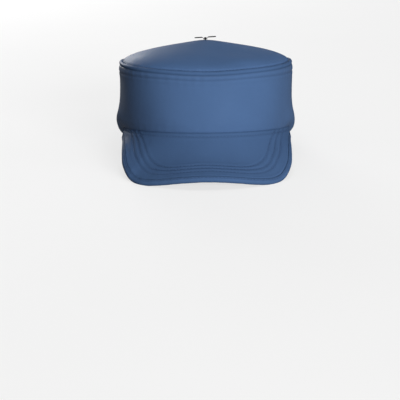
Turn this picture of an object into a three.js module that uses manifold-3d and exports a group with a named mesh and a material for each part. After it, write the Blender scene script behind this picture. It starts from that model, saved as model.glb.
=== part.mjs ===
// A kepi cap in blue cotton: an upright crown wall, a domed top panel with a rolled rim,
// a short curved peak with a bound edge, and a small black spinner on the highest point.
// Millimetres. The cap is shaped with its hem level at z = 0, the peak towards -Y and +X
// on the wearer's left, and then leans back on the ground as it does when it is put down.

import * as THREE from 'three';
import { mergeVertices } from 'three/addons/utils/BufferGeometryUtils.js';
import Module from 'manifold-3d';

const wasm = await Module();
wasm.setup();

// Crown: half sizes of the hem and of the rim seam, measured to the outside of the cloth
const HEM_HALF_WIDTH = 78.3;
const HEM_HALF_DEPTH_FRONT = 102;
const HEM_HALF_DEPTH_BACK = 104;
const HEM_SQUARENESS = 2.05;
const RIM_HALF_WIDTH = 80.4;
const RIM_HALF_DEPTH_FRONT = 98;
const RIM_HALF_DEPTH_BACK = 100;
const RIM_SQUARENESS = 2.4;

// Heights of the rim seam: the front is lower than the sides, with a small dip in its middle
const CROWN_HEIGHT = 57.5;
const RIM_FRONT_DROP = 6.6;
const RIM_FRONT_DIP = 1.7;
const RIM_DIP_HALF_WIDTH = 35;
const RIM_BACK_RISE = 1;

// The wall's cloth, and how far it puffs out over the hem
const CLOTH_THICKNESS = 1.8;
const SIDE_PUFF = 4.9;
const FRONT_PUFF = 1.2;
const HEM_SAG = 9;
const SEAM_INSET = 0.8;

// Top panel: the roll along its seam, then a dome made of a tent, a bow and a shoulder
const ROLL_INSET = 3.2;
const ROLL_RISE = 3.4;
const TENT_RISE = 11.6;
const BOW_RISE = 3.5;
const SHOULDER_RISE = 4.1;
const SHOULDER_POWER = 14;
const APEX_ROUNDING = 0.1;

// Peak: sizes from the hem to the inner line of its binding
const PEAK_HALF_TURN = 84.2;
const PEAK_REACH = 44.3;
const PEAK_SPREAD = 22;
const PEAK_DROP = 37.8;
const PEAK_HOLLOW = 6.5;
const PEAK_THICKNESS = 2.2;
const PEAK_ROOT_INSET = 0.4;
const BINDING_WIDTH = 4.2;
const BINDING_DEPTH = 3.8;

// Spinner: a pin through the top panel, and a rotor with two raised blades that turns on it
const PIN_RADIUS = 0.8;
const PIN_HEAD_RADIUS = 1.45;
const PIN_HEAD_HEIGHT = 0.5;
const PIN_FLANGE_RADIUS = 2.1;
const PIN_FLANGE_HEIGHT = 0.4;
const HUB_RADIUS = 1.8;
const HUB_HEIGHT = 0.7;
const ROTOR_SPAN = 20;
const ROTOR_RISE = 0.8;
const ARM_RUN = 1.5;
const BLADE_CHORD = 4.4;
const BLADE_THICKNESS = 0.6;
const BLADE_PITCH = 11;
const SPINNER_LEAN = 3;

// Gaps between neighbouring pieces, and how deep the cloth is pressed flat where it rests
const GAP = 0.3;
const PRESS_DEPTH = 0.6;

// Fineness of the meshes
const AROUND = 88;
const PEAK_STEPS = 48;

// Wall section from the hem up: shares of the height, of the side puff and of the front puff
const WALL_ROWS = [
  { height: 0, side: 0, front: 0 },
  { height: 0.032, side: 0.36, front: 0.35 },
  { height: 0.075, side: 0.74, front: 0.6 },
  { height: 0.12, side: 0.94, front: 0.85 },
  { height: 0.175, side: 1, front: 0.95 },
  { height: 0.235, side: 0.9, front: 1 },
  { height: 0.305, side: 0.66, front: 1 },
  { height: 0.39, side: 0.42, front: 0.95 },
  { height: 0.49, side: 0.24, front: 0.8 },
  { height: 0.66, side: 0.12, front: 0.5 },
  { height: 0.95, side: 0.06, front: 0.1 },
];

// Roll section from the rim seam inwards: shares of the roll's inset and rise
const ROLL_ROWS = [
  { inset: 0.25, rise: 0 },
  { inset: 0.03, rise: 0.28 },
  { inset: 0, rise: 0.5 },
  { inset: 0.12, rise: 0.76 },
  { inset: 0.38, rise: 0.96 },
  { inset: 0.72, rise: 1.04 },
  { inset: 1, rise: 0.98 },
];

// Dome rows from the roll to the pin hole: shares of the panel's radius
const DOME_OUTER_SHARES = [0.975, 0.94, 0.89, 0.81, 0.7, 0.57, 0.43, 0.29, 0.15, 0];
const DOME_INNER_SHARES = [0, 0.07, 0.22, 0.42, 0.64, 0.82, 0.93, 1];

// Peak outline from its end at the temple to its middle: the share of the half turn along the
// hem, shares of the spread, reach and drop from that point of the hem, and of the binding
const PEAK_ROWS = [
  { turn: 1, aside: -0.06, forward: 0, drop: 0.03, binding: 0.3 },
  { turn: 0.926, aside: -0.01, forward: 0.05, drop: 0.1, binding: 0.65 },
  { turn: 0.816, aside: 0.08, forward: 0.085, drop: 0.16, binding: 1 },
  { turn: 0.715, aside: 0.155, forward: 0.175, drop: 0.22, binding: 1 },
  { turn: 0.602, aside: 0.335, forward: 0.316, drop: 0.335, binding: 1 },
  { turn: 0.507, aside: 0.56, forward: 0.429, drop: 0.495, binding: 1 },
  { turn: 0.418, aside: 0.815, forward: 0.519, drop: 0.68, binding: 1 },
  { turn: 0.346, aside: 0.965, forward: 0.632, drop: 0.843, binding: 1 },
  { turn: 0.291, aside: 1.02, forward: 0.69, drop: 0.956, binding: 1 },
  { turn: 0.233, aside: 0.985, forward: 0.763, drop: 1, binding: 1 },
  { turn: 0.16, aside: 0.8, forward: 0.85, drop: 0.977, binding: 1 },
  { turn: 0.08, aside: 0.44, forward: 0.955, drop: 0.915, binding: 1 },
  { turn: 0, aside: 0, forward: 1, drop: 0.883, binding: 1 },
];

// Peak rows from the hem to the binding, as shares of the width there
const PEAK_SHARES = [0, 0.12, 0.26, 0.42, 0.58, 0.74, 0.88, 1];

// Binding section, seen along the edge: shares of its width outwards and its depth downwards
const BINDING_ROWS = [
  { out: 0, down: -0.08 },
  { out: 0.38, down: -0.12 },
  { out: 0.76, down: 0.06 },
  { out: 0.97, down: 0.34 },
  { out: 1, down: 0.66 },
  { out: 0.88, down: 0.92 },
  { out: 0.6, down: 1 },
  { out: 0.32, down: 0.92 },
  { out: 0.08, down: 0.8 },
  { out: 0, down: 0.68 },
];

const radians = THREE.MathUtils.degToRad;
const mix = THREE.MathUtils.lerp;

// Distance from the middle to an oval outline, in the direction that turn gives. A turn of 0
// looks to the front and a quarter turn to the wearer's left.
function ovalRadius(turn, halfWidth, halfDepthFront, halfDepthBack, squareness) {
  const across = Math.abs(Math.sin(turn)) / halfWidth;
  const along = Math.cos(turn) > 0
    ? Math.cos(turn) / halfDepthFront
    : -Math.cos(turn) / halfDepthBack;
  return (across ** squareness + along ** squareness) ** (-1 / squareness);
}

function hemRadius(turn) {
  return ovalRadius(turn, HEM_HALF_WIDTH, HEM_HALF_DEPTH_FRONT, HEM_HALF_DEPTH_BACK, HEM_SQUARENESS);
}

function rimRadius(turn) {
  return ovalRadius(turn, RIM_HALF_WIDTH, RIM_HALF_DEPTH_FRONT, RIM_HALF_DEPTH_BACK, RIM_SQUARENESS);
}

function turnFromFront(turn) {
  return Math.abs(Math.atan2(Math.sin(turn), Math.cos(turn)));
}

// How far a direction belongs to the sides and back, where the cloth puffs out more
function sideShare(turn) {
  return THREE.MathUtils.smoothstep(turnFromFront(turn), radians(50), radians(85));
}

// The hem is level in front and hangs lower behind the ends of the peak
function hemHeight(turn) {
  return -HEM_SAG * THREE.MathUtils.smoothstep(turnFromFront(turn), radians(72), radians(95));
}

// Level of the rim seam, continued as a gently bent sheet over the whole crown
function rimHeight(x, y) {
  const forward = Math.max(0, -y / RIM_HALF_DEPTH_FRONT);
  const backward = Math.max(0, y / RIM_HALF_DEPTH_BACK);
  const dip = RIM_FRONT_DIP * Math.exp(-((x / RIM_DIP_HALF_WIDTH) ** 2)) * forward ** 2;
  return CROWN_HEIGHT - RIM_FRONT_DROP * forward ** 1.25 + RIM_BACK_RISE * backward ** 1.25 - dip;
}

function polar(turn, radius, z) {
  return new THREE.Vector3(radius * Math.sin(turn), -radius * Math.cos(turn), z);
}

function rimSeam(turn) {
  const point = polar(turn, rimRadius(turn), 0);
  point.z = rimHeight(point.x, point.y);
  return point;
}

// A closed mesh with its faces pointing out
function closedBody(points, triangles) {
  let volume = 0;
  for (const [a, b, c] of triangles) {
    volume += points[a].dot(new THREE.Vector3().crossVectors(points[b], points[c]));
  }
  const facing = volume > 0 ? triangles : triangles.map(([a, b, c]) => [a, c, b]);
  return { points, triangles: facing };
}

// Joins rows of points into quads, each cut into two triangles
function sheetTriangles(rowCount, rowLength, wrapRows, wrapAlong) {
  const triangles = [];
  const lastRow = wrapRows ? rowCount : rowCount - 1;
  const lastStep = wrapAlong ? rowLength : rowLength - 1;
  for (let row = 0; row < lastRow; row += 1) {
    for (let step = 0; step < lastStep; step += 1) {
      const nextRow = (row + 1) % rowCount;
      const nextStep = (step + 1) % rowLength;
      const a = row * rowLength + step;
      const b = row * rowLength + nextStep;
      const c = nextRow * rowLength + nextStep;
      const d = nextRow * rowLength + step;
      triangles.push([a, b, c], [a, c, d]);
    }
  }
  return triangles;
}

// A ring: a closed section that is carried round the crown. Each row is one loop of points.
function ringBody(rows) {
  return closedBody(rows.flat(), sheetTriangles(rows.length, AROUND, true, true));
}

// A strip: closed sections set side by side, with both ends capped. The first half of each
// section runs along the strip's face and the second half comes back along its reverse.
function stripBody(sections) {
  const size = sections[0].length;
  const triangles = sheetTriangles(sections.length, size, false, true);
  const lastStart = (sections.length - 1) * size;
  for (let step = 0; step < size / 2 - 1; step += 1) {
    const far = size - 1 - step;
    triangles.push([step, far, step + 1], [step + 1, far, far - 1]);
    triangles.push(
      [lastStart + step, lastStart + step + 1, lastStart + far],
      [lastStart + step + 1, lastStart + far - 1, lastStart + far],
    );
  }
  return closedBody(sections.flat(), triangles);
}

function loopOf(pointAt) {
  return Array.from({ length: AROUND }, (_, step) => pointAt((step * 2 * Math.PI) / AROUND));
}

// A point of the wall at a share of its height, set in from the outside by a depth
function wallPoint(turn, row, depth) {
  const side = sideShare(turn);
  const puff = side * row.side * SIDE_PUFF + (1 - side) * row.front * FRONT_PUFF;
  const radius = mix(hemRadius(turn), rimRadius(turn), row.height) + puff - depth;
  const top = rimSeam(turn).z - GAP / 2;
  return polar(turn, radius, mix(hemHeight(turn), top, row.height));
}

function crownWall() {
  const brow = { height: 1, side: 0, front: 0 };
  const outer = WALL_ROWS.map((row) => loopOf((turn) => wallPoint(turn, row, 0)));
  const seam = loopOf((turn) => wallPoint(turn, brow, SEAM_INSET));
  const innerSeam = loopOf((turn) => wallPoint(turn, brow, SEAM_INSET + CLOTH_THICKNESS));
  const inner = WALL_ROWS.filter((row, index) => index % 2 === 0)
    .map((row) => loopOf((turn) => wallPoint(turn, row, CLOTH_THICKNESS)))
    .reverse();
  return ringBody([...outer, seam, innerSeam, ...inner]);
}

const PIN_HOLE_RADIUS = PIN_RADIUS + GAP;

function domeRise(share) {
  const slack = Math.hypot(1, APEX_ROUNDING) - Math.hypot(share, APEX_ROUNDING);
  const shoulder = SHOULDER_RISE * (1 - share ** SHOULDER_POWER);
  return ROLL_RISE + TENT_RISE * slack + BOW_RISE * (1 - share ** 2) + shoulder;
}

// A point of the dome, at a share of the way from the pin hole to the roll
function domePoint(turn, share, inset, depth) {
  const edge = rimRadius(turn) - ROLL_INSET - inset;
  const point = polar(turn, mix(PIN_HOLE_RADIUS, edge, share), 0);
  point.z = rimHeight(point.x, point.y) + domeRise(share) - depth;
  return point;
}

function rollPoint(turn, inset, rise) {
  const seam = rimSeam(turn);
  return polar(turn, rimRadius(turn) - inset, seam.z + rise);
}

function topPanel() {
  const roll = ROLL_ROWS.map((row) => loopOf((turn) => (
    rollPoint(turn, row.inset * ROLL_INSET, GAP / 2 + row.rise * ROLL_RISE)
  )));
  const dome = DOME_OUTER_SHARES.map((share) => loopOf((turn) => domePoint(turn, share, 0, 0)));
  const inside = DOME_INNER_SHARES.map((share) => loopOf((turn) => (
    domePoint(turn, share, CLOTH_THICKNESS, CLOTH_THICKNESS)
  )));
  const foot = loopOf((turn) => rollPoint(turn, SEAM_INSET + CLOTH_THICKNESS, GAP / 2));
  return ringBody([...roll, ...dome, ...inside, foot]);
}

// The outline's rows, mirrored to both sides of the middle and smoothed between them
function smoothed(vectorOf) {
  const left = PEAK_ROWS.map((row) => vectorOf(row, 1));
  const right = PEAK_ROWS.map((row) => vectorOf(row, -1)).reverse().slice(1);
  return new THREE.CatmullRomCurve3([...left, ...right].reverse(), false, 'catmullrom');
}

const peakOffsets = smoothed((row, side) => new THREE.Vector3(side * row.aside, row.forward, row.drop));
const peakTurns = smoothed((row, side) => new THREE.Vector3(side * row.turn, row.binding, 0));

// Place on the peak: along runs from -1 at one temple to 1 at the other, share from the hem
// to the binding. The peak falls away from the hem steeply and flattens towards its edge.
function peakPoint(along, share) {
  const station = (along + 1) / 2;
  const turn = radians(PEAK_HALF_TURN) * peakTurns.getPoint(station).x;
  const offset = peakOffsets.getPoint(station);
  const root = polar(turn, hemRadius(turn) - PEAK_ROOT_INSET, hemHeight(turn) - GAP);
  const step = new THREE.Vector3(
    offset.x * PEAK_SPREAD,
    -offset.y * PEAK_REACH,
    -offset.z * PEAK_DROP,
  );
  const hollow = 4 * PEAK_HOLLOW * offset.y * share * (1 - share) ** 1.5;
  return root.addScaledVector(step, share).add(new THREE.Vector3(0, 0, -hollow));
}

// Directions on the peak: along its edge, outwards across it, and up from its face
function peakFrame(along, share) {
  const nudge = 0.002;
  const alongLow = Math.max(-1, along - nudge);
  const alongHigh = Math.min(1, along + nudge);
  const shareLow = Math.max(0, share - nudge);
  const shareHigh = Math.min(1, share + nudge);
  const edge = peakPoint(alongHigh, share).sub(peakPoint(alongLow, share)).normalize();
  const across = peakPoint(along, shareHigh).sub(peakPoint(along, shareLow)).normalize();
  const up = new THREE.Vector3().crossVectors(across, edge).normalize();
  const out = new THREE.Vector3().crossVectors(edge, up).normalize();
  return { edge, out, up };
}

function alongSteps() {
  return Array.from({ length: PEAK_STEPS + 1 }, (_, step) => (2 * step) / PEAK_STEPS - 1);
}

function peakSection(along) {
  const face = PEAK_SHARES.map((share) => peakPoint(along, share));
  const reverse = PEAK_SHARES.map((share, index) => {
    const point = peakPoint(along, share);
    if (index > 0) {
      return point.addScaledVector(peakFrame(along, share).up, -PEAK_THICKNESS);
    }
    const inwards = new THREE.Vector3(-point.x, -point.y, 0).normalize();
    return point.addScaledVector(inwards, PEAK_THICKNESS);
  });
  return [...face, ...reverse.reverse()];
}

function peakBody() {
  return stripBody(alongSteps().map(peakSection));
}

function bindingBody() {
  return stripBody(alongSteps().map((along) => {
    const edge = peakPoint(along, 1);
    const frame = peakFrame(along, 1);
    const size = peakTurns.getPoint((along + 1) / 2).y;
    return BINDING_ROWS.map((row) => edge.clone()
      .addScaledVector(frame.out, GAP + row.out * size * BINDING_WIDTH)
      .addScaledVector(frame.up, -row.down * size * BINDING_DEPTH));
  }));
}

// The cap leans back until its peak and the back of its hem touch the ground together
function heightWhenLeaning(point, lean) {
  return point.z * Math.cos(lean) - point.y * Math.sin(lean);
}

function lowest(body, lean) {
  return Math.min(...body.points.map((point) => heightWhenLeaning(point, lean)));
}

function restingLean(back, front) {
  let low = 0;
  let high = radians(45);
  for (let round = 0; round < 40; round += 1) {
    const middle = (low + high) / 2;
    if (lowest(front, middle) < lowest(back, middle)) {
      low = middle;
    } else {
      high = middle;
    }
  }
  return (low + high) / 2;
}

// Cloth that would reach below the ground is pressed flat on it
function pressFlat(body, lean, ground) {
  const up = new THREE.Vector3(0, -Math.sin(lean), Math.cos(lean));
  for (const point of body.points) {
    const height = heightWhenLeaning(point, lean);
    if (height < ground) {
      point.addScaledVector(up, ground - height);
    }
  }
}

function geometryOf(body) {
  const geometry = new THREE.BufferGeometry();
  const positions = body.points.flatMap((point) => [point.x, point.y, point.z]);
  geometry.setAttribute('position', new THREE.Float32BufferAttribute(positions, 3));
  geometry.setIndex(body.triangles.flat());
  geometry.computeVertexNormals();
  return geometry;
}

function namedMesh(name, geometry, material) {
  const mesh = new THREE.Mesh(geometry, material);
  mesh.name = name;
  return mesh;
}

// Joining solids
function solidOf(geometry) {
  const bare = geometry.clone();
  bare.deleteAttribute('normal');
  bare.deleteAttribute('uv');
  const merged = mergeVertices(bare, 1e-4);
  return new wasm.Manifold(new wasm.Mesh({
    numProp: 3,
    vertProperties: new Float32Array(merged.attributes.position.array),
    triVerts: new Uint32Array(merged.index.array),
  }));
}

function geometryFromSolid(solid) {
  const mesh = solid.getMesh();
  const geometry = new THREE.BufferGeometry();
  geometry.setAttribute('position', new THREE.BufferAttribute(new Float32Array(mesh.vertProperties), 3));
  geometry.setIndex(new THREE.BufferAttribute(new Uint32Array(mesh.triVerts), 1));
  geometry.computeVertexNormals();
  return geometry;
}

// Levels of the spinner above the top of the dome, going up its pin. Both flanges clear the
// cloth by the gap also where the pin's lean and the fall of the dome bring them closer.
const FLANGE_TILT = PIN_FLANGE_RADIUS * Math.sin(radians(SPINNER_LEAN));
const FLANGE_FALL = domeRise(0) - domeRise(PIN_FLANGE_RADIUS / RIM_HALF_WIDTH);
const PIN_SEAT = GAP + FLANGE_TILT;
const PIN_FLANGE_TOP = PIN_SEAT + PIN_FLANGE_HEIGHT;
const HUB_BOTTOM = PIN_FLANGE_TOP + GAP;
const HUB_TOP = HUB_BOTTOM + HUB_HEIGHT;
const PIN_HEAD_BOTTOM = HUB_TOP + GAP;
const PIN_BOTTOM = -CLOTH_THICKNESS - PIN_SEAT - FLANGE_FALL - PIN_FLANGE_HEIGHT;

// The pin: a flange under the cloth, a flange on it, a shank and a rounded head
function spinnerPin() {
  const headTop = PIN_HEAD_BOTTOM + PIN_HEAD_HEIGHT;
  const profile = [
    [0, PIN_BOTTOM],
    [PIN_FLANGE_RADIUS, PIN_BOTTOM],
    [PIN_FLANGE_RADIUS, PIN_BOTTOM + PIN_FLANGE_HEIGHT],
    [PIN_RADIUS, PIN_BOTTOM + PIN_FLANGE_HEIGHT],
    [PIN_RADIUS, PIN_SEAT],
    [PIN_FLANGE_RADIUS, PIN_SEAT],
    [PIN_FLANGE_RADIUS * 0.92, PIN_FLANGE_TOP],
    [PIN_RADIUS, PIN_FLANGE_TOP],
    [PIN_RADIUS, PIN_HEAD_BOTTOM],
    [PIN_HEAD_RADIUS, PIN_HEAD_BOTTOM],
    [PIN_HEAD_RADIUS * 0.8, mix(PIN_HEAD_BOTTOM, headTop, 0.7)],
    [0, headTop],
  ];
  const turned = new THREE.LatheGeometry(profile.map(([x, y]) => new THREE.Vector2(x, y)), 20);
  turned.rotateX(Math.PI / 2);
  return turned;
}

// One arm with its blade: the arm climbs away from the hub and the blade runs on level,
// turned about its own length by the pitch
function rotorBlade() {
  const half = BLADE_THICKNESS / 2;
  const reach = ROTOR_SPAN / 2;
  const start = HUB_RADIUS * 0.85;
  const sections = [
    { x: start, z: (HUB_BOTTOM + HUB_TOP) / 2, chord: 0.5, pitch: 0 },
    { x: start + ARM_RUN * 0.35, z: HUB_TOP + ROTOR_RISE * 0.2, chord: 0.46, pitch: 0.2 },
    { x: start + ARM_RUN * 0.75, z: HUB_TOP + ROTOR_RISE * 0.85, chord: 0.6, pitch: 0.6 },
    { x: start + ARM_RUN, z: HUB_TOP + ROTOR_RISE, chord: 0.8, pitch: 1 },
    { x: mix(start + ARM_RUN, reach, 0.5), z: HUB_TOP + ROTOR_RISE, chord: 1, pitch: 1 },
    { x: mix(start + ARM_RUN, reach, 0.85), z: HUB_TOP + ROTOR_RISE, chord: 0.86, pitch: 1 },
    { x: reach, z: HUB_TOP + ROTOR_RISE, chord: 0.4, pitch: 1 },
  ];
  return stripBody(sections.map((section) => {
    const pitch = radians(BLADE_PITCH) * section.pitch;
    const halfChord = (BLADE_CHORD * section.chord) / 2;
    const outline = [[-1, -0.35], [-0.6, -1], [0.6, -1], [1, -0.35], [1, 0.35], [0.6, 1], [-0.6, 1], [-1, 0.35]];
    return outline.map(([across, thick]) => {
      const y = across * halfChord;
      const z = thick * half;
      return new THREE.Vector3(
        section.x,
        y * Math.cos(pitch) - z * Math.sin(pitch),
        section.z + y * Math.sin(pitch) + z * Math.cos(pitch),
      );
    });
  }));
}

function spinnerRotor() {
  const hub = new THREE.CylinderGeometry(HUB_RADIUS, HUB_RADIUS, HUB_HEIGHT, 20);
  hub.rotateX(Math.PI / 2);
  hub.translate(0, 0, (HUB_BOTTOM + HUB_TOP) / 2);
  const bore = new THREE.CylinderGeometry(PIN_HOLE_RADIUS, PIN_HOLE_RADIUS, HUB_HEIGHT * 3, 20);
  bore.rotateX(Math.PI / 2);
  bore.translate(0, 0, (HUB_BOTTOM + HUB_TOP) / 2);
  const blade = solidOf(geometryOf(rotorBlade()));
  const opposite = blade.rotate([0, 0, 180]);
  return geometryFromSolid(solidOf(hub).add(blade).add(opposite).subtract(solidOf(bore)));
}

const cotton = new THREE.MeshStandardMaterial({ color: 0x4f699a, roughness: 0.92, metalness: 0 });
const cottonShade = new THREE.MeshStandardMaterial({ color: 0x456090, roughness: 0.92, metalness: 0 });
const blackPlastic = new THREE.MeshStandardMaterial({ color: 0x101114, roughness: 0.5, metalness: 0 });

const wall = crownWall();
const panel = topPanel();
const peak = peakBody();
const binding = bindingBody();
const lean = restingLean(wall, binding);
const ground = Math.min(lowest(wall, lean), lowest(binding, lean)) + PRESS_DEPTH;
for (const body of [wall, peak, binding]) {
  pressFlat(body, lean, ground);
}

const spinner = new THREE.Group();
spinner.add(namedMesh('spinner_pin', spinnerPin(), blackPlastic));
spinner.add(namedMesh('spinner_rotor', spinnerRotor(), blackPlastic.clone()));
spinner.position.z = rimHeight(0, 0) + domeRise(0);
spinner.rotation.y = -radians(SPINNER_LEAN);

const cap = new THREE.Group();
cap.add(namedMesh('crown_wall', geometryOf(wall), cotton));
cap.add(namedMesh('top_panel', geometryOf(panel), cottonShade));
cap.add(namedMesh('peak', geometryOf(peak), cotton.clone()));
cap.add(namedMesh('peak_binding', geometryOf(binding), cotton.clone()));
cap.add(spinner);
cap.rotation.x = -lean;
cap.updateMatrixWorld(true);

// The origin is on the ground, under the middle of the whole cap
const box = new THREE.Box3().setFromObject(cap, true);
cap.position.y = -(box.min.y + box.max.y) / 2;
cap.position.x = -(box.min.x + box.max.x) / 2;
cap.position.z = -ground;

const kepiCap = new THREE.Group();
kepiCap.add(cap);

export default kepiCap;
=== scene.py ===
"""The looks of a kepi cap in blue cotton: a puffed crown wall, a domed top with a rolled rim, a
short curved peak with three rows of stitching and a bound edge, and a small black spinner."""

import math

import bpy
import numpy as np
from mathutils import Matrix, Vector


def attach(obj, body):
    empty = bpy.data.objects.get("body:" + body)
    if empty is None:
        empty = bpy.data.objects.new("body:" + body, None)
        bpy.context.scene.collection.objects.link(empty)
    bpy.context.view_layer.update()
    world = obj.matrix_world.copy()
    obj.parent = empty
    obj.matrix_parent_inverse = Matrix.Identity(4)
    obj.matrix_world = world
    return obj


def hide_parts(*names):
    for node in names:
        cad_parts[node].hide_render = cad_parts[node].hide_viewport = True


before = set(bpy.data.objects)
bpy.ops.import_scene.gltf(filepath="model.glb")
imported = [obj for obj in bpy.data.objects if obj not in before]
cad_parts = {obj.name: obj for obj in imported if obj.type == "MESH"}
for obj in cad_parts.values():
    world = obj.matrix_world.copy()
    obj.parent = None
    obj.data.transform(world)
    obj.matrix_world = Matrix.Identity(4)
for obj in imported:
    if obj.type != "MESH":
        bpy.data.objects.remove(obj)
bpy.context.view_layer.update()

# Sizes in millimetres, in the cap's own frame: hem level at z = 0 and the peak towards -Y.
# The hem and the rim are ovals: half width, depth in front, depth at the back, squareness.
HEM = (78.3, 102.0, 104.0, 2.05)
RIM = (80.4, 98.0, 100.0, 2.4)
CROWN_HEIGHT = 57.5
RIM_FRONT_DROP = 6.6
RIM_FRONT_DIP = 1.7
RIM_DIP_HALF_WIDTH = 35.0
RIM_BACK_RISE = 1.0
CLOTH_THICKNESS = 1.8
SIDE_PUFF = 4.9
FRONT_PUFF = 1.2
PUFF_TURNS = (math.radians(50), math.radians(85))
HEM_SAG = 9.0
HEM_SAG_TURNS = (math.radians(72), math.radians(95))
SEAM_INSET = 0.8
ROLL_INSET = 3.2
ROLL_RISE = 3.4
TENT_RISE = 11.6
BOW_RISE = 3.5
SHOULDER_RISE = 4.1
SHOULDER_POWER = 14
APEX_ROUNDING = 0.1
PEAK_HALF_TURN = 84.2
PEAK_REACH = 44.3
PEAK_SPREAD = 22.0
PEAK_DROP = 37.8
PEAK_HOLLOW = 6.5
PEAK_THICKNESS = 2.2
PEAK_ROOT_INSET = 0.4
BINDING_WIDTH = 4.2
BINDING_DEPTH = 3.8
PIN_HOLE_RADIUS = 1.1
GAP = 0.3
CLOTH_ROUND = 565.0

# How the cap leans back on the ground, in degrees, and where its frame's origin then is
LEAN = 8.497341
CAP_Y = 22.368251
CAP_Z = 23.668610

# Wall section from the hem up, in shares: height, side puff, front puff
WALL_ROWS = [
    (0, 0, 0),
    (0.032, 0.36, 0.35),
    (0.075, 0.74, 0.6),
    (0.12, 0.94, 0.85),
    (0.175, 1, 0.95),
    (0.235, 0.9, 1),
    (0.305, 0.66, 1),
    (0.39, 0.42, 0.95),
    (0.49, 0.24, 0.8),
    (0.66, 0.12, 0.5),
    (0.95, 0.06, 0.1),
    (1, 0.03, 0),
]

# Roll section from the rim seam inwards, in shares: inset, rise
ROLL_ROWS = [(0.04, -0.06), (0.02, 0.24), (0, 0.5), (0.12, 0.76), (0.38, 0.96), (0.72, 1.04), (1, 0.98)]

# Peak outline from its end to its middle, in shares: turn, spread, reach, drop, binding
PEAK_ROWS = [
    (1, -0.06, 0, 0.03, 0.3),
    (0.926, -0.01, 0.05, 0.1, 0.65),
    (0.816, 0.08, 0.085, 0.16, 1),
    (0.715, 0.155, 0.175, 0.22, 1),
    (0.602, 0.335, 0.316, 0.335, 1),
    (0.507, 0.56, 0.429, 0.495, 1),
    (0.418, 0.815, 0.519, 0.68, 1),
    (0.346, 0.965, 0.632, 0.843, 1),
    (0.291, 1.02, 0.69, 0.956, 1),
    (0.233, 0.985, 0.763, 1, 1),
    (0.16, 0.8, 0.85, 0.977, 1),
    (0.08, 0.44, 0.955, 0.915, 1),
    (0, 0, 1, 0.883, 1),
]

# Binding section, in shares: width, depth
BINDING_ROWS = [
    (0, -0.08),
    (0.38, -0.12),
    (0.76, 0.06),
    (0.97, 0.34),
    (1, 0.66),
    (0.88, 0.92),
    (0.6, 1),
    (0.32, 0.92),
    (0.08, 0.8),
    (0, 0.68),
]

# Stitched rows on the peak from the hem outwards: places along the peak and shares of its width
PEAK_STITCH_ROWS = {
    "inner": [
        (0, 0.64),
        (0.19, 0.645),
        (0.26, 0.57),
        (0.32, 0.506),
        (0.41, 0.387),
        (0.517, 0.189),
        (0.6, 0.03),
    ],
    "middle": [
        (0, 0.733),
        (0.18, 0.739),
        (0.34, 0.627),
        (0.386, 0.574),
        (0.47, 0.479),
        (0.57, 0.252),
        (0.66, 0.04),
    ],
    "outer": [
        (0, 0.838),
        (0.165, 0.853),
        (0.4, 0.712),
        (0.445, 0.678),
        (0.52, 0.603),
        (0.625, 0.367),
        (0.72, 0.06),
    ],
}
WALL_ROW_DEPTH = 4.0
WALL_ROW_SIDE_DROP = 1.8
WALL_ROW_DROP_TURNS = (math.radians(15), math.radians(75))
HEM_ROW_OFFSET = 3.0
HEM_ROW_REACH = 0.86
BINDING_ROW_OFFSET = 1.35
STITCH_PITCH = 3.1
STITCH_LENGTH = 2.5
STITCH_SLANT = 0.09
STITCH_LIFT = 0.16
STITCH_SINK = 0.1
THREAD_RADIUS = 0.24
THREAD_FLATNESS = 0.85

# Steps of the meshes: round the crown, along the peak, and across each piece
AROUND = 560
ALONG = 480
WALL_STEPS = 84
WALL_INNER_STEPS = 26
ROLL_STEPS = 30
SHOULDER_STEPS = 16
DOME_STEPS = 52
DOME_INNER_STEPS = 26
PEAK_STEPS = 84
PEAK_UNDER_STEPS = 30
PEAK_LINE_STEPS = 700
PEAK_PATH_STEPS = 500
BINDING_STEPS = 44


def smoothstep(x, low, high):
    t = np.clip((x - low) / (high - low), 0, 1)
    return t * t * (3 - 2 * t)


def mix(a, b, share):
    return a + (b - a) * share


def bell(distance, width):
    return np.exp(-((distance / width) ** 2))


def smooth_table(at, places, values):
    """Values of a table at any place, on one smooth curve through its rows."""
    places = np.asarray(places, float)
    values = np.asarray(values, float)
    slopes = np.gradient(values, places, axis=0)
    row = np.clip(np.searchsorted(places, at, side="right") - 1, 0, len(places) - 2)
    step = places[row + 1] - places[row]
    t = np.clip((at - places[row]) / step, 0, 1)
    if values.ndim > 1:
        t = t[..., None]
        step = step[..., None]
    a, b = values[row], values[row + 1]
    ta, tb = slopes[row] * step, slopes[row + 1] * step
    return a + ta * t + (3 * (b - a) - 2 * ta - tb) * t**2 + (2 * (a - b) + ta + tb) * t**3


def catmull(values, at):
    """A smooth curve through evenly spaced rows; at runs from 0 to 1."""
    rows = np.asarray(values, float)
    rows = np.concatenate([2 * rows[:1] - rows[1:2], rows, 2 * rows[-1:] - rows[-2:-1]])
    place = np.clip(at, 0, 1) * (len(rows) - 3)
    low = np.minimum(np.floor(place).astype(int), len(rows) - 4)
    t = (place - low)[..., None]
    p0, p1, p2, p3 = rows[low], rows[low + 1], rows[low + 2], rows[low + 3]
    a, b = (p2 - p0) / 2, (p3 - p1) / 2
    return p1 + a * t + (3 * (p2 - p1) - 2 * a - b) * t**2 + (2 * (p1 - p2) + a + b) * t**3


def waves(u, v, seed, length, count=7):
    """Soft random relief: a sum of waves of about one length, between about -1 and 1."""
    rng = np.random.default_rng(seed)
    total = 0
    for _ in range(count):
        angle = rng.uniform(0, 2 * math.pi)
        pitch = length * rng.uniform(0.7, 1.5)
        phase = rng.uniform(0, 2 * math.pi)
        total = total + np.sin(2 * math.pi * (u * math.cos(angle) + v * math.sin(angle)) / pitch + phase)
    return total / math.sqrt(2 * count)


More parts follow.
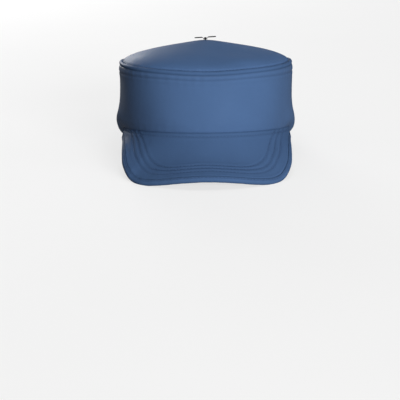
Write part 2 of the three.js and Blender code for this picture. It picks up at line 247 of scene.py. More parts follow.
def oval_radius(turn, half_width, depth_front, depth_back, squareness):
    across = np.abs(np.sin(turn)) / half_width
    along = np.where(np.cos(turn) > 0, np.cos(turn) / depth_front, -np.cos(turn) / depth_back)
    return (across**squareness + along**squareness) ** (-1 / squareness)


def hem_radius(turn):
    return oval_radius(turn, *HEM)


def rim_radius(turn):
    return oval_radius(turn, *RIM)


def from_front(turn):
    """Turn away from the front to either side, in radians."""
    return np.abs(np.arctan2(np.sin(turn), np.cos(turn)))


def hem_height(turn):
    return -HEM_SAG * smoothstep(from_front(turn), *HEM_SAG_TURNS)


def rim_height(x, y):
    forward = np.maximum(0, -y / RIM[1])
    backward = np.maximum(0, y / RIM[2])
    dip = RIM_FRONT_DIP * bell(x, RIM_DIP_HALF_WIDTH) * forward**2
    return CROWN_HEIGHT - RIM_FRONT_DROP * forward**1.25 + RIM_BACK_RISE * backward**1.25 - dip


def polar(turn, radius, z):
    return np.stack(np.broadcast_arrays(radius * np.sin(turn), -radius * np.cos(turn), z), -1)


def rim_seam(turn):
    point = polar(turn, rim_radius(turn), 0.0)
    return rim_height(point[..., 0], point[..., 1])


def place(points):
    """Cap frame in millimetres to the resting frame in metres, pressed flat on the ground."""
    lean = math.radians(LEAN)
    x, y, z = points[..., 0], points[..., 1], points[..., 2]
    back = y * math.cos(lean) + z * math.sin(lean) + CAP_Y
    high = z * math.cos(lean) - y * math.sin(lean) + CAP_Z
    return np.stack([x, back, np.maximum(high, 0)], -1) / 1000


def normals_of(points, wrap_columns=False):
    """Unit normals of a grid of points, rows by columns."""
    if wrap_columns:
        along_row = np.roll(points, -1, 1) - np.roll(points, 1, 1)
    else:
        along_row = np.gradient(points, axis=1)
    normal = np.cross(along_row, np.gradient(points, axis=0))
    return normal / np.maximum(np.linalg.norm(normal, axis=-1, keepdims=True), 1e-9)


def unit(vectors):
    return vectors / np.linalg.norm(vectors, axis=-1, keepdims=True)


def facing_up(normals):
    """The normals, turned round if the one in the middle of the grid points down."""
    rows, columns = normals.shape[:2]
    return -normals if normals[rows // 2, columns // 2, 2] < 0 else normals


def arc(points):
    """Length along a line of points, at each point."""
    steps = np.linalg.norm(np.diff(points, axis=0), axis=-1)
    return np.concatenate([[0], np.cumsum(steps)])


def along_line(at, length, line):
    """Points of a line at given lengths along it."""
    return np.stack([np.interp(at, length, line[:, i]) for i in range(3)], -1)


def with_first(values, axis=0):
    """The values with the first one once more at the end, to close a ring."""
    return np.concatenate([values, np.take(values, [0], axis)], axis)


def stitch_pull(run, base=0.8, swing=0.2):
    """How hard the cloth is drawn in along a row of stitches."""
    pulled = 0.5 + 0.5 * np.cos(2 * math.pi * run / STITCH_PITCH)
    return base + swing * pulled


def mesh_object(name, points, faces, cloth, painted_shade, body, material):
    """One piece: placed points, faces of four or three corners, cloth coordinates per face corner
    in millimetres, and a painted shade value per point that darkens the cloth's colour."""
    mesh = bpy.data.meshes.new(name)
    mesh.from_pydata(points.tolist(), [], faces)
    mesh.polygons.foreach_set("use_smooth", [True] * len(mesh.polygons))
    coordinates = mesh.attributes.new("cloth", "FLOAT_VECTOR", "CORNER")
    coordinates.data.foreach_set("vector", np.asarray(cloth, np.float32).ravel())
    # Painted shade per point: how far the cloth's colour is darkened towards its shade colour
    painted_shades = mesh.attributes.new("painted_shade", "FLOAT", "POINT")
    painted_shades.data.foreach_set("value", np.asarray(painted_shade, np.float32).ravel())
    mesh.materials.append(material)
    mesh.validate()
    piece = bpy.data.objects.new(name, mesh)
    bpy.context.scene.collection.objects.link(piece)
    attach(piece, body)
    return piece


def grid_piece(name, points, cloth, painted_shade, material, wrap_columns):
    """A closed piece of cloth: its rows run round the section and wrap. cloth has one more row,
    and one more column where the columns wrap. Open ends are closed with a strip of faces."""
    rows, columns = points.shape[:2]
    last = columns if wrap_columns else columns - 1
    r, c = np.meshgrid(np.arange(rows), np.arange(last), indexing="ij")
    r, c = r.ravel(), c.ravel()
    r1, c1 = (r + 1) % rows, (c + 1) % columns
    faces = np.stack([r * columns + c, r * columns + c1, r1 * columns + c1, r1 * columns + c], 1)
    corners = np.stack([cloth[r, c], cloth[r, c + 1], cloth[r + 1, c + 1], cloth[r + 1, c]], 1)
    if not wrap_columns:
        half = rows // 2
        step = np.arange(half - 1 + rows % 2)
        far = rows - 1 - step
        for column, flip in ((0, True), (columns - 1, False)):
            cap = np.stack([step, step + 1, far - 1, far], 1)
            cap = cap[cap[:, 1] < cap[:, 2]]
            cap = cap[:, ::-1] if flip else cap
            faces = np.concatenate([faces, cap * columns + column])
            corners = np.concatenate([corners, cloth[cap, column]])
    placed = place(points).reshape(-1, 3)
    first, second, third = (placed[faces[:, corner]] for corner in range(3))
    if np.einsum("ij,ij->i", first, np.cross(second, third)).sum() < 0:
        faces, corners = faces[:, ::-1], corners[:, ::-1]
    cloth_corners = np.concatenate([corners, np.zeros_like(corners[..., :1])], -1)
    return mesh_object(
        name, placed, faces.tolist(), cloth_corners, painted_shade.ravel(), "cap", material
    )


def stitched(name, paths, material):
    """Threads lying on the cloth: short rounded stitches set end to end along each path.
    A path is its points and the cloth's normals there, in the cap's frame."""
    sides, rings = 7, 7
    # The path's direction is read this far to either side of a stitch's middle
    look = 0.3
    ring_at = np.linspace(-1, 1, rings)
    swell = THREAD_RADIUS * (1 - np.abs(ring_at) ** 3.5) ** 0.5 + 0.02
    turn_at = np.linspace(0, 2 * math.pi, sides, endpoint=False)
    points, faces, cloth = [], [], []
    count = 0
    for path, normals in paths:
        length = arc(path)
        total = int(length[-1] / STITCH_PITCH)
        if total < 1:
            continue
        middle = (np.arange(total) + 0.5) * length[-1] / total
        centre = along_line(middle, length, path)
        up = unit(along_line(middle, length, normals))
        run = unit(along_line(middle + look, length, path) - along_line(middle - look, length, path))
        across = unit(np.cross(run, up))
        run = run + STITCH_SLANT * across
        lift = STITCH_LIFT * (1 - ring_at**2) - STITCH_SINK
        spine = (
            centre[:, None]
            + run[:, None] * (ring_at * STITCH_LENGTH / 2)[:, None]
            + up[:, None] * lift[:, None]
        )
        sideways = np.cos(turn_at)[:, None] * across[:, None]
        upwards = THREAD_FLATNESS * np.sin(turn_at)[:, None] * up[:, None]
        shell = spine[:, :, None] + swell[:, None, None] * (sideways + upwards)[:, None]
        for number in range(total):
            start = count * sides * rings
            points.append(shell[number].reshape(-1, 3))
            for ring in range(rings - 1):
                for side in range(sides):
                    following = (side + 1) % sides
                    low, high = start + ring * sides, start + (ring + 1) * sides
                    faces.append([low + side, low + following, high + following, high + side])
                    for corner_ring, corner_side in ((0, side), (0, side + 1), (1, side + 1), (1, side)):
                        cloth.append(((ring + corner_ring) * 0.4, corner_side * 0.2, 0))
            for ring, flip in ((0, True), (rings - 1, False)):
                end = [start + ring * sides + side for side in range(sides)]
                faces.append(end[::-1] if flip else end)
                cloth.extend([(ring * 0.4, 0, 0)] * sides)
            count += 1
    placed = place(np.concatenate(points))
    return mesh_object(name, placed, faces, cloth, np.zeros(len(placed)), "cap", material)


# Materials


def node(tree, kind, **values):
    made = tree.nodes.new(kind)
    for key, value in values.items():
        setattr(made, key, value)
    return made


def maths(tree, operation, a, b=None, clamp=False):
    made = tree.nodes.new("ShaderNodeMath")
    made.operation = operation
    made.use_clamp = clamp
    for socket, value in zip(made.inputs, (a, b)):
        if isinstance(value, bpy.types.NodeSocket):
            tree.links.new(value, socket)
        elif value is not None:
            socket.default_value = value
    return made.outputs[0]


def mixed(tree, factor, a, b):
    """A mix of two colours."""
    made = tree.nodes.new("ShaderNodeMix")
    made.data_type = "RGBA"
    colour_a = [s for s in made.inputs if s.name == "A" and s.type == "RGBA"][0]
    colour_b = [s for s in made.inputs if s.name == "B" and s.type == "RGBA"][0]
    share = [s for s in made.inputs if s.name == "Factor" and s.type == "VALUE"][0]
    for socket, value in ((share, factor), (colour_a, a), (colour_b, b)):
        if isinstance(value, bpy.types.NodeSocket):
            tree.links.new(value, socket)
        else:
            socket.default_value = value
    return [s for s in made.outputs if s.type == "RGBA"][0]


def shader(name):
    material = bpy.data.materials.new(name)
    material.use_nodes = True
    tree = material.node_tree
    return material, tree, tree.nodes["Principled BSDF"]


def scaled(tree, vector, scale):
    made = tree.nodes.new("ShaderNodeMapping")
    made.inputs["Scale"].default_value = scale
    tree.links.new(vector, made.inputs["Vector"])
    return made.outputs["Vector"]


def wave(tree, vector, direction, scale, distortion, detail_scale):
    made = node(tree, "ShaderNodeTexWave", bands_direction=direction)
    made.inputs["Scale"].default_value = scale
    made.inputs["Distortion"].default_value = distortion
    made.inputs["Detail"].default_value = 2
    made.inputs["Detail Scale"].default_value = detail_scale
    tree.links.new(vector, made.inputs["Vector"])
    return made.outputs["Fac"]


def noise(tree, vector, scale, detail=3, roughness=0.55):
    made = node(tree, "ShaderNodeTexNoise")
    made.inputs["Scale"].default_value = scale
    made.inputs["Detail"].default_value = detail
    made.inputs["Roughness"].default_value = roughness
    tree.links.new(vector, made.inputs["Vector"])
    return made.outputs["Fac"]


def bump(tree, bsdf, height, strength, distance):
    made = tree.nodes.new("ShaderNodeBump")
    made.inputs["Strength"].default_value = strength
    made.inputs["Distance"].default_value = distance
    tree.links.new(height, made.inputs["Height"])
    tree.links.new(made.outputs["Normal"], bsdf.inputs["Normal"])


def weighted(tree, a, share_a, b, share_b):
    """A weighted sum of two values."""
    a_part = maths(tree, "MULTIPLY", a, share_a)
    return maths(tree, "ADD", a_part, maths(tree, "MULTIPLY", b, share_b))


def stretched(tree, value, scale, low):
    """The value scaled and moved up, for a roughness from low to low + scale."""
    return maths(tree, "ADD", maths(tree, "MULTIPLY", value, scale), low)


def cotton_material(name, light, dark, shade, gloss, gloss_roughness):
    """Fine twill in cotton: diagonal wales, crossing threads, slubs, soft fading and painted shade."""
    material, tree, bsdf = shader(name)
    cloth = node(tree, "ShaderNodeAttribute", attribute_name="cloth").outputs["Vector"]
    painted_shade = node(tree, "ShaderNodeAttribute", attribute_name="painted_shade").outputs["Fac"]
    wales = wave(tree, cloth, "DIAGONAL", 0.8, 1.2, 1.5)
    threads = wave(tree, cloth, "X", 0.9, 1.5, 2.0)
    slubs = noise(tree, scaled(tree, cloth, (0.25, 1.6, 1)), 1.0, 4, 0.6)
    fading = noise(tree, cloth, 0.035, 3, 0.5)
    mottle = noise(tree, cloth, 0.35, 4, 0.65)
    height = weighted(tree, wales, 0.6, threads, 0.25)
    height = maths(tree, "ADD", height, maths(tree, "MULTIPLY", slubs, 0.5))
    tone = weighted(tree, fading, 0.6, mottle, 0.4)
    weave_tone = maths(tree, "MULTIPLY", maths(tree, "SUBTRACT", height, 0.65), 0.35)
    tone = maths(tree, "ADD", tone, weave_tone, True)
    colour = mixed(tree, tone, (*dark, 1), (*light, 1))
    # Painted shade: the colour is darkened towards the shade colour as the painted shade value rises
    colour = mixed(tree, maths(tree, "MULTIPLY", painted_shade, 0.6, True), colour, (*shade, 1))
    tree.links.new(colour, bsdf.inputs["Base Color"])
    tree.links.new(stretched(tree, slubs, 0.16, 0.66), bsdf.inputs["Roughness"])
    bump(tree, bsdf, height, 0.35, 0.00012)
    bsdf.inputs["Specular IOR Level"].default_value = 0.04
    bsdf.inputs["Coat Weight"].default_value = gloss
    bsdf.inputs["Coat Roughness"].default_value = gloss_roughness
    return material


def thread_material(name, light, dark):
    """Sewing thread: two plies twisted round each other."""
    material, tree, bsdf = shader(name)
    cloth = node(tree, "ShaderNodeAttribute", attribute_name="cloth").outputs["Vector"]
    twist = wave(tree, cloth, "DIAGONAL", 1.5, 0.4, 1.0)
    tone = weighted(tree, noise(tree, cloth, 2.0), 0.4, twist, 0.6)
    tree.links.new(mixed(tree, tone, (*dark, 1), (*light, 1)), bsdf.inputs["Base Color"])
    tree.links.new(stretched(tree, twist, 0.2, 0.5), bsdf.inputs["Roughness"])
    bump(tree, bsdf, twist, 0.5, 0.00006)
    bsdf.inputs["Specular IOR Level"].default_value = 0.2
    return material


def plastic_material(name):
    """Satin black moulded plastic with faint flow marks and handling scuffs."""
    material, tree, bsdf = shader(name)
    where = node(tree, "ShaderNodeTexCoord").outputs["Object"]
    flow = noise(tree, where, 260, 3, 0.5)
    scuffs = noise(tree, where, 1900, 5, 0.7)
    colour = mixed(tree, flow, (0.006, 0.006, 0.007, 1), (0.014, 0.014, 0.016, 1))
    tree.links.new(colour, bsdf.inputs["Base Color"])
    tree.links.new(stretched(tree, scuffs, 0.22, 0.42), bsdf.inputs["Roughness"])
    bsdf.inputs["Specular IOR Level"].default_value = 0.06
    bump(tree, bsdf, flow, 0.12, 0.00008)
    return material


COTTON = np.array([0.05, 0.097, 0.2])
# Shares of the cotton colour: the light and the dark of the weave, and the colour of painted shade
COTTON_SHARES = (1.09, 0.91, 0.42)


def cotton_in(name, tone, gloss, gloss_roughness):
    """The cap's cotton in one tone, with a whole piece painted lighter or darker by the tone: the light
    and the dark of its weave, and the colour of its painted shade.
    """
    light, dark, shade = (tuple((COTTON * tone * share).tolist()) for share in COTTON_SHARES)
    return cotton_material(name, light, dark, shade, gloss, gloss_roughness)


# One cotton in three tones: the top is painted lighter and the peak and its binding painted darker than
# the wall, as painted light and painted shade.
wall_cotton = cotton_in("wall_cotton", tone=1.0, gloss=0.4, gloss_roughness=0.36)
top_cotton_painted_lighter = cotton_in("top_cotton_painted_lighter", tone=1.12, gloss=0.075, gloss_roughness=0.32)
peak_cotton_painted_darker = cotton_in("peak_cotton_painted_darker", tone=0.86, gloss=0.02, gloss_roughness=0.3)
thread = thread_material("cotton_thread", light=(0.062, 0.115, 0.24), dark=(0.03, 0.058, 0.13))
plastic = plastic_material("black_plastic")


# Crown wall

# Turns round the crown and lengths of cloth round it, from the seam at the back
turns = np.linspace(-math.pi, math.pi, AROUND, endpoint=False)
cloth_around = np.linspace(-CLOTH_ROUND / 2, CLOTH_ROUND / 2, AROUND + 1)[None, :]
WALL_HEIGHTS = [row[0] for row in WALL_ROWS]


def side_share(turn):
    return smoothstep(from_front(turn), *PUFF_TURNS)


def wall_points(turn, height, depth):
    """Points of the wall: height is the share of the way up, depth is how far they are set in."""
    puffs = smooth_table(height, WALL_HEIGHTS, [row[1:] for row in WALL_ROWS])
    side = side_share(turn)
    puff = side * puffs[..., 0] * SIDE_PUFF + (1 - side) * puffs[..., 1] * FRONT_PUFF
    radius = mix(hem_radius(turn), rim_radius(turn), height) + puff - depth
    return polar(turn, radius, mix(hem_height(turn), rim_seam(turn) - GAP / 2, height))


def seam_row_depth(turn):
    """How far below the rim seam the row of stitching on the wall runs."""
    return WALL_ROW_DEPTH + WALL_ROW_SIDE_DROP * smoothstep(from_front(turn), *WALL_ROW_DROP_TURNS)


def wall_relief(turn, above, below):
    """Height of the wall's relief and its painted shade values, from how far each point is above
    the hem and below the rim seam."""
    around = turn * CLOTH_ROUND / (2 * math.pi)
    from_row = below - seam_row_depth(turn)
    from_back = CLOTH_ROUND / 2 - np.abs(around)
    # The stitched row lies in a groove between two soft ridges
    relief = -0.3 * bell(from_row, 0.8) * stitch_pull(around)
    relief = relief + 0.2 * bell(from_row - 2.3, 1.6) + 0.3 * bell(from_row + 2.2, 1.5)
    # Short puckers at the rim seam and the hem, and long soft waves between them
    relief = relief + 0.16 * waves(around, above * 0.16, 3, 7.5) * bell(below, 9)
    relief = relief + 0.14 * waves(around, above * 0.2, 5, 9.0) * bell(above, 8)
    middle = smoothstep(below, 4, 16) * smoothstep(above, 2, 14)
    relief = relief + 0.5 * waves(around, above * 0.7, 11, 55) * middle
    # The upright seam at the back
    relief = relief - 0.45 * bell(from_back, 0.9) + 0.15 * bell(from_back - 2.5, 1.8)
    fade = smoothstep(above, 0, 1.2) * smoothstep(below, 0, 0.8)
    # Painted shade along the stitched row, the back seam and the rim seam
    painted_shade = 0.45 * bell(from_row, 0.7) + 0.5 * bell(from_back, 0.7) + 0.4 * bell(below, 0.7)
    return relief * fade - 0.4 * bell(below, 0.9), painted_shade


def crown_wall():
    height = np.linspace(0, 1, WALL_STEPS)[:, None]
    turn = turns[None, :]
    outer = wall_points(turn, height, 0.0)
    up = normals_of(outer, wrap_columns=True)
    rise = rim_seam(turn) - hem_height(turn)
    relief, painted_shade = wall_relief(turn, height * rise, (1 - height) * rise)
    outer = outer + up * relief[..., None]
    # The edge tucked in at the rim seam and the fold at the hem: inset, rise
    tuck_shape = [(0.8, 0.5), (1.6, 0.62), (2.2, 0.3), (SEAM_INSET + CLOTH_THICKNESS, -0.15)]
    fold_shape = [(1.72, 0.5), (1.45, -0.1), (1.0, -0.42), (0.5, -0.32)]
    seam, hem = rim_seam(turns), hem_height(turns)
    tuck = np.stack([polar(turns, rim_radius(turns) - inset, seam + z) for inset, z in tuck_shape])
    fold = np.stack([polar(turns, hem_radius(turns) - inset, hem + z) for inset, z in fold_shape])
    inner = wall_points(turn, np.linspace(0.985, 0.03, WALL_INNER_STEPS)[:, None], CLOTH_THICKNESS)
    points = np.concatenate([outer, tuck, inner, fold])
    rows = len(points)
    cloth = np.zeros((rows + 1, AROUND + 1, 2))
    cloth[..., 0] = cloth_around
    cloth[:-1, :, 1] = arc(points[:, 0])[:, None]
    cloth[-1, :, 1] = cloth[-2, :, 1] + 0.5
    painted_shades = np.zeros((rows, AROUND))
    painted_shades[: len(outer)] = painted_shade
    # The edge tucked in at the rim seam is painted in shade
    painted_shades[len(outer) : len(outer) + len(tuck)] = 0.8
    piece = grid_piece("crown_cloth", points, cloth, painted_shades, wall_cotton, True)
    row_height = 1 - seam_row_depth(turns) / (seam - hem)
    path = wall_points(turns, row_height, 1.5 * THREAD_RADIUS)
    return piece, (with_first(path), with_first(polar(turns, 1.0, 0.0)))


# Top panel


def dome_rise(share):
    slack = math.hypot(1, APEX_ROUNDING) - np.hypot(share, APEX_ROUNDING)
    rise = ROLL_RISE + TENT_RISE * slack + BOW_RISE * (1 - share**2)
    return rise + SHOULDER_RISE * (1 - share**SHOULDER_POWER)


def dome_points(turn, share, inset, depth):
    edge = rim_radius(turn) - ROLL_INSET - inset
    point = polar(turn, mix(PIN_HOLE_RADIUS, edge, share), 0.0)
    point[..., 2] = rim_height(point[..., 0], point[..., 1]) + dome_rise(share) - depth
    return point


def top_relief(turn, points, run, from_groove):
    """Height of the top's relief and its painted shade values, from the length of each point's row
    from the rim seam and its distance past the groove between roll and dome."""
    around = turn * CLOTH_ROUND / (2 * math.pi)
    x, y = points[..., 0], points[..., 1]
    # The stitched groove between two soft ridges, with short puckers along it
    relief = -0.34 * bell(from_groove, 0.8) * stitch_pull(around)
    relief = relief + 0.15 * bell(from_groove + 2.4, 1.6) + 0.1 * bell(from_groove - 2.5, 1.8)
    relief = relief + 0.15 * waves(around, run * 0.2, 21, 7.0) * bell(from_groove, 5)
    # Long soft waves on the dome, which end before the groove and the spinner
    middle = smoothstep(from_groove, 2, 16) * smoothstep(np.hypot(x, y), 4, 20)
    relief = relief + 0.35 * waves(x, y, 23, 48) * middle
    # Painted shade in the groove and at the rim seam, and over the whole roll, which is painted darker
    # than the dome
    painted_shade = 0.5 * bell(from_groove, 0.8) + 0.4 * bell(run, 0.8)
    painted_shade = painted_shade + 0.55 * smoothstep(-from_groove, 0, 1.5)
    return relief * smoothstep(run, 0, 1.5) - 0.4 * bell(run, 0.9), painted_shade


def top_panel():
    turn = turns[None, :]
    section = catmull(ROLL_ROWS, np.linspace(0, 1, ROLL_STEPS))
    roll = polar(
        turn,
        rim_radius(turn) - section[:, :1] * ROLL_INSET,
        rim_seam(turn) + GAP / 2 + section[:, 1:] * ROLL_RISE,
    )
    shoulder = np.linspace(0.993, 0.9, SHOULDER_STEPS)
    share = np.concatenate([shoulder, np.linspace(0.885, 0, DOME_STEPS)])[:, None]
    outer = np.concatenate([roll, dome_points(turn, share, 0.0, 0.0)])
    up = normals_of(outer, wrap_columns=True)
    run = np.linalg.norm(np.diff(outer, axis=0), axis=-1)
    run = np.concatenate([np.zeros((1, AROUND)), np.cumsum(run, axis=0)])
    from_groove = run - (run[len(roll)] - 0.2)
    relief, painted_shade = top_relief(turn, outer, run, from_groove)
    outer = outer + up * relief[..., None]
    inner_share = np.concatenate([np.linspace(0, 0.93, DOME_INNER_STEPS), [0.97, 1]])[:, None]
    inner = dome_points(turn, inner_share, CLOTH_THICKNESS, CLOTH_THICKNESS)
    foot_radius = rim_radius(turns) - SEAM_INSET - CLOTH_THICKNESS
    foot = polar(turns, foot_radius, rim_seam(turns) + GAP / 2)[None]
    points = np.concatenate([outer, inner, foot])
    rows = len(points)
    closed = with_first(with_first(points), 1)
    run_closed = with_first(np.concatenate([run, np.zeros((rows + 1 - len(run), AROUND))]), 1)
    rolled = np.arange(rows + 1)[:, None] < len(roll)
    cloth = np.zeros((rows + 1, AROUND + 1, 2))
    cloth[..., 0] = np.where(rolled, cloth_around, closed[..., 0])
    cloth[..., 1] = np.where(rolled, run_closed, closed[..., 1])
    painted_shades = np.zeros((rows, AROUND))
    painted_shades[: len(outer)] = painted_shade
    piece = grid_piece("top_cloth", points, cloth, painted_shades, top_cotton_painted_lighter, True)
    normal = up[len(roll)]
    return piece, (with_first(outer[len(roll)] + normal * 0.1), with_first(normal))


# Peak

RIGHT_ROWS = [(-turn, -aside, forward, drop, bind) for turn, aside, forward, drop, bind in PEAK_ROWS]
PEAK_TABLE = RIGHT_ROWS + PEAK_ROWS[::-1][1:]


def peak_points(along, share):
    """Points of the peak: along runs from -1 at one temple to 1 at the other, share from the
    hem to the binding."""
    along, share = np.broadcast_arrays(np.asarray(along, float), np.asarray(share, float))
    row = catmull(PEAK_TABLE, (along + 1) / 2)
    turn = math.radians(PEAK_HALF_TURN) * row[..., 0]
    root = polar(turn, hem_radius(turn) - PEAK_ROOT_INSET, hem_height(turn) - GAP)
    step = np.stack(
        [row[..., 1] * PEAK_SPREAD, -row[..., 2] * PEAK_REACH, -row[..., 3] * PEAK_DROP], -1
    )
    point = root + step * share[..., None]
    inside = np.clip(share, 0, 1)
    point[..., 2] -= 4 * PEAK_HOLLOW * row[..., 2] * inside * (1 - inside) ** 1.5
    return point


def peak_reach(along):
    """Distance from the hem to the binding, at each place along the peak."""
    return np.linalg.norm(peak_points(along, 1.0) - peak_points(along, 0.0), axis=-1)


def distance_to(points, line):
    """Distance of each point to a line of points, and how far along the line the nearest is."""
    batch = 4000
    flat = points.reshape(-1, 3)
    nearest = np.empty(len(flat), int)
    distance = np.empty(len(flat))
    for start in range(0, len(flat), batch):
        part = slice(start, start + batch)
        gaps = ((flat[part, None] - line[None]) ** 2).sum(-1)
        nearest[part] = gaps.argmin(1)
        distance[part] = np.sqrt(gaps.min(1))
    return distance.reshape(points.shape[:-1]), arc(line)[nearest].reshape(points.shape[:-1])


def peak_lines():
    """The stitched rows on the peak, as lines on its smooth surface: the three curved rows, and
    last the one that follows the hem."""
    lines = []
    for rows in PEAK_STITCH_ROWS.values():
        at = [-a for a, _ in rows[::-1]] + [a for a, _ in rows[1:]]
        shares = [s for _, s in rows[::-1]] + [s for _, s in rows[1:]]
        along = np.linspace(at[0], at[-1], PEAK_LINE_STEPS)
        lines.append(peak_points(along, smooth_table(along, at, shares)))
    along = np.linspace(-HEM_ROW_REACH, HEM_ROW_REACH, PEAK_LINE_STEPS)
    lines.append(peak_points(along, HEM_ROW_OFFSET / peak_reach(along)))
    return lines


def peak_relief(along, share, smooth, lines):
    """Height of the peak's relief and its painted shade values."""
    relief = np.zeros(smooth.shape[:2])
    painted_shade = np.zeros(smooth.shape[:2])
    for number, line in enumerate(lines):
        distance, at = distance_to(smooth, line)
        depth = 0.28 if number < len(PEAK_STITCH_ROWS) else 0.22
        relief -= depth * bell(distance, 0.85) * stitch_pull(at)
        relief += 0.12 * bell(np.abs(distance) - 2.5, 1.3)
        # Painted shade along each stitched row
        painted_shade += 0.5 * bell(distance, 0.75)
    reach = peak_reach(along)
    from_edge = (1 - share) * reach[None, :]
    from_root = share * reach[None, :]
    # The surface dips to the binding, with a soft ridge before it
    relief -= 0.35 * bell(from_edge, 0.7)
    relief += 0.15 * bell(from_edge - 2.4, 1.4)
    # Painted shade at the binding and at the hem
    painted_shade += 0.55 * bell(from_edge, 0.8) + 0.5 * bell(from_root, 0.8)
    # Short puckers along the binding, and long soft waves between it and the hem
    ripple = along[None, :] * 150
    middle = smoothstep(from_edge, 3, 14) * smoothstep(from_root, 3, 14)
    relief += 0.1 * waves(ripple, from_edge * 0.3, 31, 8.0) * bell(from_edge, 5)
    relief += 0.3 * waves(ripple, from_edge, 33, 45) * middle
    return relief * smoothstep(reach, 1, 6)[None, :], painted_shade


def peak_paths(lines, smooth, up):
    """The peak's rows of thread: their points, sunk in the grooves, and the normals there."""
    flat, flat_up = smooth.reshape(-1, 3), up.reshape(-1, 3)
    order = np.linspace(0, PEAK_LINE_STEPS - 1, PEAK_PATH_STEPS).astype(int)
    paths = []
    for line in lines:
        line = line[order]
        nearest = ((line[:, None] - flat[None]) ** 2).sum(-1).argmin(1)
        normal = flat_up[nearest]
        paths.append((line - normal * 0.3, normal))
    return paths


def peak():
    along = np.linspace(-1, 1, ALONG)
    share = np.linspace(0, 1, PEAK_STEPS)[:, None]
    smooth = peak_points(along[None, :], share)
    up = facing_up(normals_of(smooth))
    lines = peak_lines()
    relief, painted_shade = peak_relief(along, share, smooth, lines)
    top = smooth + up * relief[..., None]
    under_share = np.concatenate([np.linspace(1, 0.05, PEAK_UNDER_STEPS), [0.02]])[:, None]
    under = peak_points(along[None, :], under_share)
    under = under - facing_up(normals_of(under)) * PEAK_THICKNESS
    # The edge under the hem, tucked in behind the wall: inwards, rise
    tuck_shape = [(PEAK_THICKNESS, 0), (1.4, 0.9), (0.6, 0.7)]
    root = smooth[0]
    inwards = unit(np.stack([-root[:, 0], -root[:, 1], np.zeros(ALONG)], -1))
    tuck = np.stack([root + inwards * inset + [0, 0, rise] for inset, rise in tuck_shape])
    points = np.concatenate([top, under, tuck])
    rows = len(points)
    run = np.linalg.norm(np.diff(with_first(points), axis=0), axis=-1)
    cloth = np.zeros((rows + 1, ALONG, 2))
    cloth[..., 0] = arc(smooth[-1])[None, :]
    cloth[..., 1] = np.concatenate([np.zeros((1, ALONG)), np.cumsum(run, axis=0)])
    painted_shades = np.zeros((rows, ALONG))
    painted_shades[: len(top)] = painted_shade
    piece = grid_piece("peak_cloth", points, cloth, painted_shades, peak_cotton_painted_darker, False)
    return piece, peak_paths(lines, smooth, up)


def binding():
    along = np.linspace(-1, 1, ALONG)
    edge = peak_points(along, 1.0)
    size = catmull(PEAK_TABLE, (along + 1) / 2)[:, 4]
    run = unit(np.gradient(edge, axis=0))
    up = unit(np.cross(unit(edge - peak_points(along, 0.998)), run))
    out = unit(np.cross(run, up))
    # The section's rows, with three more after them so that the curve closes on itself
    closed_rows = BINDING_ROWS + BINDING_ROWS[:3]
    whole_round = len(BINDING_ROWS) / (len(closed_rows) - 1)
    section = catmull(closed_rows, np.linspace(0, whole_round, BINDING_STEPS, endpoint=False))
    across, down = section[:, :1], section[:, 1:]
    length = arc(edge)[None, :]
    outwards = across * size * BINDING_WIDTH
    tuck = bell(across, 0.12) * 0.45
    on_top = down < 0.3
    seam_row = bell(outwards - BINDING_ROW_OFFSET, 0.6) * on_top
    ripple = 0.09 * waves(length, outwards * 0.4, 41, 6.5)
    downwards = down * size * BINDING_DEPTH + 0.3 * seam_row * stitch_pull(length, 0.75, 0.25) + ripple
    points = (
        edge[None]
        + out[None] * (GAP + outwards - tuck)[..., None]
        - up[None] * downwards[..., None]
    )
    around = arc(with_first(points)[:, ALONG // 2])[:, None]
    cloth = np.zeros((BINDING_STEPS + 1, ALONG, 2))
    cloth[..., 0] = (length + around) * math.sqrt(0.5)
    cloth[..., 1] = (length - around) * math.sqrt(0.5)
    # Painted shade where the binding folds over the peak and along its stitched row
    painted_shades = 0.8 * bell(outwards, 0.5) * on_top + 0.5 * seam_row
    piece = grid_piece("peak_edge_cloth", points, cloth, painted_shades, peak_cotton_painted_darker, False)
    keep = size > 0.85
    path = edge + out * (GAP + BINDING_ROW_OFFSET) + up * (0.1 * BINDING_DEPTH - THREAD_RADIUS)
    return piece, (path[keep], up[keep])


wall_piece, wall_row = crown_wall()
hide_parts("crown_wall")
top_piece, top_row = top_panel()
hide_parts("top_panel")
peak_piece, peak_row_paths = peak()
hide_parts("peak")
edge_piece, edge_row = binding()
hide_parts("peak_binding")
stitched("wall_stitches", [wall_row], thread)
stitched("top_stitches", [top_row], thread)
stitched("peak_stitches", peak_row_paths, thread)
stitched("edge_stitches", [edge_row], thread)

for spinner_node in ("spinner_pin", "spinner_rotor"):
    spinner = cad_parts[spinner_node]
    spinner.data.materials.clear()
    spinner.data.materials.append(plastic)


# Studio, in metres

FLOOR_RADIUS = 4.5
FLOOR_CURVE = 1.5
FLOOR_CURVE_STEPS = 12
FLOOR_SIDES = 72
FLOOR_TOP = 5.0
FLOOR_GLOW = 0.685
CAP_MIDDLE = (0, 0, 0.05)
AMBIENT_STRENGTH = 0.16
CAMERA_PLACE = (-0.008680, -1.402309, 0.343471)
CAMERA_TURN = (74.55198, 0.45268, -0.22018)
CAMERA_LENS = 139.4746


def studio_surface(name, low, high):
    material, tree, bsdf = shader(name)
    where = node(tree, "ShaderNodeTexCoord").outputs["Object"]
    grain = noise(tree, where, 3, 3, 0.5)
    tree.links.new(mixed(tree, grain, (*low, 1), (*high, 1)), bsdf.inputs["Base Color"])
    bsdf.inputs["Roughness"].default_value = 0.9
    bsdf.inputs["Specular IOR Level"].default_value = 0.1
    bsdf.inputs["Emission Color"].default_value = (1, 1, 1, 1)
    bsdf.inputs["Emission Strength"].default_value = FLOOR_GLOW
    return material


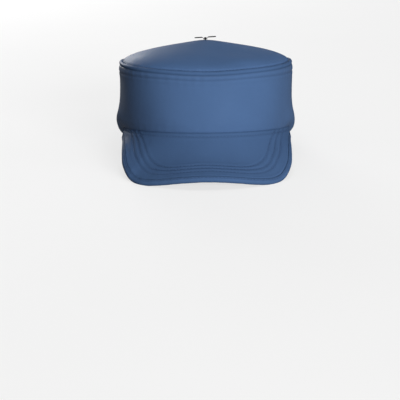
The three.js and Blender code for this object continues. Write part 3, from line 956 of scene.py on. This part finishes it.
def backdrop():
    """A pale floor that curves up into a wall all round, far from the cap."""
    profile = [(0.0, 0.0)] + [(FLOOR_RADIUS * share / 3, 0.0) for share in (1, 2, 3)]
    for step in range(1, FLOOR_CURVE_STEPS + 1):
        angle = math.radians(90) * step / FLOOR_CURVE_STEPS
        out = FLOOR_RADIUS + FLOOR_CURVE * math.sin(angle)
        profile.append((out, FLOOR_CURVE - FLOOR_CURVE * math.cos(angle)))
    profile.append((FLOOR_RADIUS + FLOOR_CURVE, FLOOR_TOP))
    sides = FLOOR_SIDES
    points = [(0, 0, 0)]
    for radius, z in profile[1:]:
        for side in range(sides):
            angle = 2 * math.pi * side / sides
            points.append((radius * math.cos(angle), radius * math.sin(angle), z))
    faces = [[0, 1 + side, 1 + (side + 1) % sides] for side in range(sides)]
    for ring in range(len(profile) - 2):
        for side in range(sides):
            a = 1 + ring * sides + side
            b = 1 + ring * sides + (side + 1) % sides
            faces.append([a, a + sides, b + sides, b])
    mesh = bpy.data.meshes.new("floor")
    mesh.from_pydata(points, [], faces)
    mesh.polygons.foreach_set("use_smooth", [True] * len(mesh.polygons))
    mesh.materials.append(studio_surface("pale_floor", (0.21, 0.21, 0.209), (0.24, 0.24, 0.239)))
    floor = bpy.data.objects.new("floor", mesh)
    bpy.context.scene.collection.objects.link(floor)
    floor.visible_diffuse = False
    floor.visible_glossy = False


def studio_place(azimuth, elevation, distance):
    """A place round the cap: azimuth 0 is in front and 90 is on the wearer's left."""
    a, e = math.radians(azimuth), math.radians(elevation)
    level = distance * math.cos(e)
    return (level * math.sin(a), -level * math.cos(a), distance * math.sin(e) + CAP_MIDDLE[2])


def lamp(name, location, width, height, energy, glossy=False, target=CAP_MIDDLE):
    """A soft rectangular lamp that the camera doesn't see. Only a glossy one shows in gloss."""
    light = bpy.data.lights.new(name, "AREA")
    light.shape = "RECTANGLE"
    light.size = width
    light.size_y = height
    light.energy = energy
    holder = bpy.data.objects.new(name, light)
    holder.location = location
    holder.rotation_mode = "QUATERNION"
    holder.rotation_quaternion = (Vector(target) - Vector(location)).to_track_quat("-Z", "Y")
    holder.visible_camera = False
    holder.visible_glossy = glossy
    bpy.context.scene.collection.objects.link(holder)


backdrop()
lamp("key", studio_place(22, 11, 4.2), width=1.9, height=1.5, energy=243)
lamp("right_fill", studio_place(72, 35, 2.4), width=0.9, height=0.9, energy=6)
lamp("top", studio_place(0, 80, 2.2), width=1.2, height=1.2, energy=13)
rim_place = studio_place(-162, 10, 2.2)
lamp("rim", rim_place, width=0.8, height=0.6, energy=23, glossy=True, target=(0, 0, 0.06))
lamp("back_fill", studio_place(174, 8, 4.0), width=1.5, height=1.0, energy=56)

world = bpy.data.worlds.new("studio")
world.use_nodes = True
background = world.node_tree.nodes["Background"]
background.inputs["Color"].default_value = (1, 1, 1, 1)
background.inputs["Strength"].default_value = AMBIENT_STRENGTH
bpy.context.scene.world = world

# Plain display of colours, as in the photo
bpy.context.scene.view_settings.view_transform = "Standard"

camera_data = bpy.data.cameras.new("camera")
camera_data.sensor_width = 36
camera_data.lens = CAMERA_LENS
camera_data.clip_start = 0.05
camera_data.clip_end = 50
camera = bpy.data.objects.new("camera", camera_data)
camera.location = CAMERA_PLACE
camera.rotation_euler = [math.radians(angle) for angle in CAMERA_TURN]
bpy.context.scene.collection.objects.link(camera)
bpy.context.scene.camera = camera
